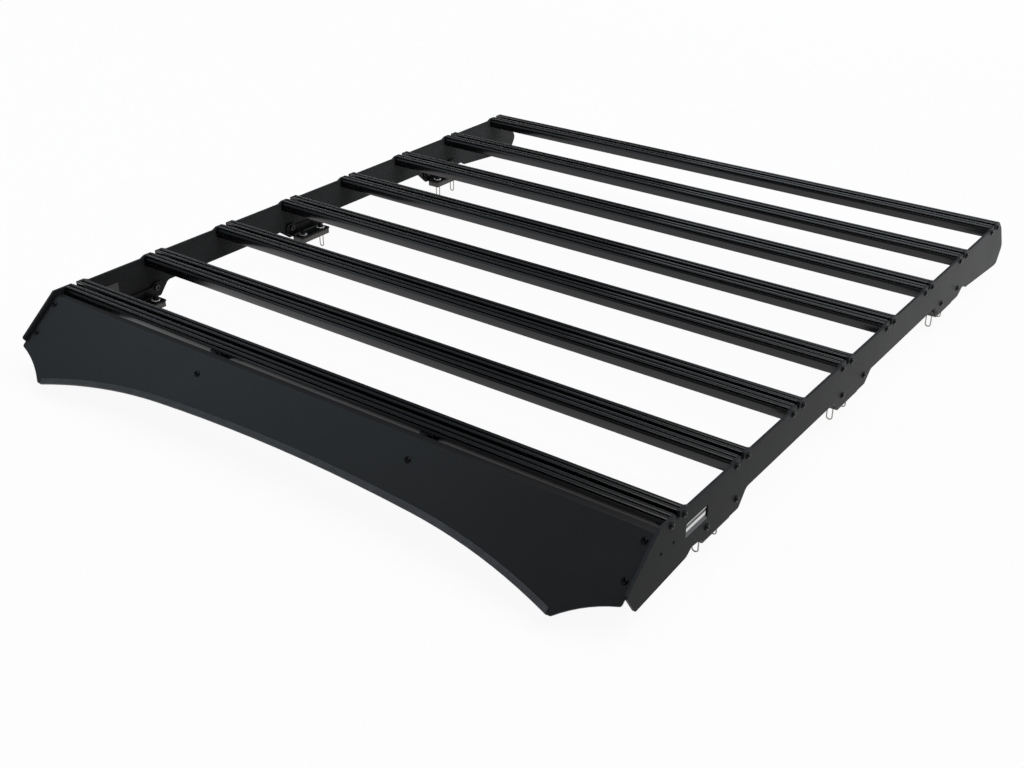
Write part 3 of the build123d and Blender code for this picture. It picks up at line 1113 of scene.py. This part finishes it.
@dataclass
class Foot:
    """One foot: bracket, pad, wire clips, and the fasteners that hold them."""

    finishes: Finishes
    fasteners: Fasteners
    side: Side
    row: FootRow
    bracket_rounding: float = 0.0006
    pad_rounding: float = 0.0009
    plate: float = 0.004
    bolt_spacing: float = 0.087
    bolt_rise: float = 0.0215
    stud_spacing: float = 0.0535
    stud_from_rail: float = 0.018
    stud_above: float = 0.004
    wire_radius: float = 0.0011
    wire_sides: int = 14
    bend_radius: float = 0.0049
    bend_steps: int = 14
    clip_length: float = 0.040

    @property
    def name(self) -> str:
        """The foot's name in the frame's node names."""
        return f"{self.row.value}_{self.side.label}"

    @property
    def underside(self) -> Vector:
        """The point under the flange, on the rail's inner face and midway along the foot."""
        bracket = f"{self.name}_foot_bracket"
        face = self.side.face(bracket, outer=True)
        return Vector((face, middle(bracket).y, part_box(bracket)[0].z))

    def along(self, spacing: float) -> tuple[Vector, Vector]:
        """The two offsets of a pair that lies along the foot."""
        return Vector((0, -spacing / 2, 0)), Vector((0, spacing / 2, 0))

    def build(self) -> None:
        """Dress the foot's nodes and add its fasteners and clips."""
        Bench.dress(f"{self.name}_foot_bracket", self.finishes.bracket, self.bracket_rounding)
        Bench.dress(f"{self.name}_foot_pad", self.finishes.pad, self.pad_rounding)
        self.bolts()
        self.studs()
        self.clips()

    def bolts(self) -> None:
        """Set the two rail bolts, with their heads outside the rail and their nuts inside."""
        outer = self.side.face(self.side.rail, outer=True)
        inner = self.underside.x - self.side.value * self.plate
        heads, nuts = [], []
        for turn, offset in enumerate(self.along(self.bolt_spacing)):
            place = self.underside + offset + Vector((0, 0, self.bolt_rise))
            for seats, x, axis in ((heads, outer, self.side.outwards), (nuts, inner, -self.side.outwards)):
                seats.append(seat(Vector((x, place.y, place.z)), axis, GOLDEN_TURN * turn))
        head = self.fasteners.button_head()
        Bench.spread(head, f"{self.name}_foot_bolts", heads, Slot.BRACKET, self.finishes.bolt)
        nut = self.fasteners.low_nut()
        Bench.spread(nut, f"{self.name}_foot_nuts", nuts, Slot.BRACKET, self.finishes.nut)

    def studs(self) -> None:
        """Set the two studs with their nuts and washers on the flange."""
        upwards = Vector((0, 0, 1))
        inset = Vector((-self.side.value * self.stud_from_rail, 0, self.plate))
        washers, nuts = [], []
        for turn, offset in enumerate(self.along(self.stud_spacing)):
            foot = self.underside + inset + offset
            washers.append(seat(foot, upwards))
            top = foot + Vector((0, 0, self.fasteners.washer_height))
            nuts.append(seat(top, upwards, GOLDEN_TURN * turn))
        ring = self.fasteners.washer()
        Bench.spread(ring, f"{self.name}_washers", washers, Slot.WIRE, self.finishes.zinc)
        stud = self.fasteners.stud_nut(self.stud_above)
        Bench.spread(stud, f"{self.name}_studs", nuts, Slot.BRACKET, self.finishes.bolt)

    def clips(self) -> None:
        """Bend the two wire clips that hang from the flange, in place of the frame's plain ones."""
        leg = self.clip_length - self.bend_radius - self.wire_radius
        bpy.ops.object.select_all(action="DESELECT")
        bpy.ops.mesh.primitive_circle_add(
            vertices=self.wire_sides, radius=self.wire_radius, location=(-self.bend_radius, 0, 0)
        )
        clip = Bench.named("wire_clip")
        with Bench.editing(clip):
            bpy.ops.mesh.extrude_region_move(TRANSFORM_OT_translate={"value": (0, 0, -leg)})
            bpy.ops.mesh.spin(steps=self.bend_steps, angle=math.pi, center=(0, 0, -leg), axis=(0, 1, 0))
            bpy.ops.mesh.extrude_region_move(TRANSFORM_OT_translate={"value": (0, 0, leg)})
            bpy.ops.mesh.select_all(action="SELECT")
            bpy.ops.mesh.remove_doubles(threshold=WELD_GAP)
            bpy.ops.mesh.fill_holes(sides=self.wire_sides)
            bpy.ops.mesh.normals_make_consistent(inside=False)
        inset = Vector((-self.side.value * self.stud_from_rail, 0, 0))
        places = [
            Matrix.Translation(self.underside + inset + offset)
            for offset in self.along(self.stud_spacing)
        ]
        clips = Bench.spread(clip, f"{self.name}_bent_clips", places, Slot.WIRE, self.finishes.wire)
        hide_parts(f"{self.name}_wire_clips")


@dataclass(frozen=True)
class SoftBox:
    """A rectangular soft box that faces the rack from a direction."""

    name: str
    azimuth: float
    elevation: float
    width: float
    height: float
    brightness: float
    colour: Colour = (1.0, 1.0, 1.0)
    distance: float = 4.0

    @property
    def place(self) -> Vector:
        """Where the box hangs, its azimuth going from the rear towards the vehicle's left."""
        around, up = math.radians(self.azimuth), math.radians(self.elevation)
        level = self.distance * math.cos(up)
        return Vector((level * math.sin(around), level * math.cos(around), self.distance * math.sin(up)))

    def hang(self) -> None:
        """Hang the box as an area light, at the power that gives its face its brightness."""
        bpy.ops.object.select_all(action="DESELECT")
        bpy.ops.object.light_add(type="AREA", location=self.place)
        box = bpy.context.object
        box.name = self.name
        box.data.shape = "RECTANGLE"
        box.data.size = self.width
        box.data.size_y = self.height
        box.data.energy = self.brightness * math.pi * self.width * self.height
        box.data.color = self.colour
        box.rotation_euler = self.place.to_track_quat("Z", "Y").to_euler()


@dataclass
class Studio:
    """A pale floor, soft light and a camera at the photograph's angle."""

    floor_radius: float = 25.0
    floor_sides: int = 64
    floor_glow: float = 0.93
    floor_colour: Colour = (0.9, 0.9, 0.9)
    horizon: Colour = (1.0, 1.0, 1.0)
    zenith: Colour = (0.13, 0.135, 0.145)
    fade_heights: Span = (0.028, 0.036)
    sun_energy: float = 2.4
    sun_angle: float = math.radians(70)
    sun_towards: Vector = field(default_factory=lambda: Vector((0.35, 0.30, 0.88)))
    boxes: tuple[SoftBox, ...] = (
        SoftBox("rear_soft_box", -6, 19.5, 2.6, 1.35, 0.58, (0.84, 0.94, 1.0)),
        SoftBox("side_soft_box", -62, 22, 1.6, 1.3, 0.07),
        SoftBox("front_soft_box", -115, 42, 2.8, 2.2, 0.66, (0.76, 0.90, 1.0)),
    )
    camera_place: Vector = field(default_factory=lambda: Vector((1.2816, -1.8510, 1.0820)))
    camera_azimuth: float = math.radians(36.26)
    camera_elevation: float = math.radians(28.41)
    camera_lens: float = 45.41
    camera_sensor: float = 36.0

    def build(self) -> None:
        """Set up the floor, the light and the camera."""
        bpy.context.scene.view_settings.view_transform = "Standard"
        self.floor()
        self.world()
        self.lamps()
        self.camera()

    def floor(self) -> None:
        """Lay a pale floor that looks white to the camera and keeps the rack's shadow."""
        bpy.ops.object.select_all(action="DESELECT")
        bpy.ops.mesh.primitive_circle_add(
            vertices=self.floor_sides, radius=self.floor_radius, fill_type="NGON"
        )
        floor = Bench.named("floor")
        material = bpy.data.materials.new("pale_floor")
        material.use_nodes = True
        tree = material.node_tree
        tree.nodes.clear()
        lit = add_node(tree, "BsdfDiffuse", {"Color": self.floor_colour}).outputs["BSDF"]
        glow = add_node(tree, "Emission", {}).outputs["Emission"]
        rays = add_node(tree, "LightPath", {}).outputs
        seen = rays["Is Camera Ray"]
        for ray in ("Is Glossy Ray", "Is Transmission Ray"):
            seen = add_node(tree, "Math", {0: seen, 1: rays[ray]}, operation="MAXIMUM").outputs["Value"]
        share = add_node(tree, "Math", {0: seen, 1: self.floor_glow}, operation="MULTIPLY").outputs["Value"]
        mix = add_node(tree, "MixShader", {"Fac": share, 1: lit, 2: glow}).outputs["Shader"]
        add_node(tree, "OutputMaterial", {"Surface": mix})
        floor.data.materials.append(material)

    def world(self) -> None:
        """Surround the rack with a studio that is white at the horizon and dim overhead."""
        world = bpy.data.worlds.new("studio")
        world.use_nodes = True
        tree = world.node_tree
        place = add_node(tree, "TexCoord", {}).outputs["Generated"]
        height = add_node(tree, "SeparateXYZ", {"Vector": place}).outputs["Z"]
        ramp = add_node(tree, "ValToRGB", {"Fac": height})
        colours = (self.horizon, self.zenith)
        for stop, position, colour in zip(ramp.color_ramp.elements, self.fade_heights, colours):
            stop.position = position
            stop.color = (*colour, 1)
        tree.links.new(ramp.outputs["Color"], tree.nodes["Background"].inputs["Color"])
        bpy.context.scene.world = world

    def lamps(self) -> None:
        """Hang a broad soft light overhead and the soft boxes round the rack."""
        bpy.ops.object.select_all(action="DESELECT")
        bpy.ops.object.light_add(type="SUN", location=self.sun_towards * 4)
        sun = bpy.context.object
        sun.name = "overhead_light"
        sun.data.energy = self.sun_energy
        sun.data.angle = self.sun_angle
        sun.rotation_euler = self.sun_towards.to_track_quat("Z", "Y").to_euler()
        for box in self.boxes:
            box.hang()

    def camera(self) -> None:
        """Stand the camera where the photograph was taken from."""
        turn = (math.pi / 2 - self.camera_elevation, 0, self.camera_azimuth)
        bpy.ops.object.camera_add(location=self.camera_place, rotation=turn)
        camera = bpy.context.object
        camera.name = "photo_camera"
        camera.data.lens = self.camera_lens
        camera.data.sensor_width = self.camera_sensor
        bpy.context.scene.camera = camera


def main() -> None:
    """Build the rack's looks and the studio round it."""
    logging.basicConfig(level=logging.INFO, format="%(message)s")
    finishes = Finishes()
    fasteners = Fasteners()
    SlatDeck(finishes, fasteners).build()
    SideRails(finishes).build()
    WindFairing(finishes, fasteners).build()
    for side in Side:
        for row in FootRow:
            Foot(finishes, fasteners, side, row).build()
    Studio().build()


if __name__ == "__main__":
    main()
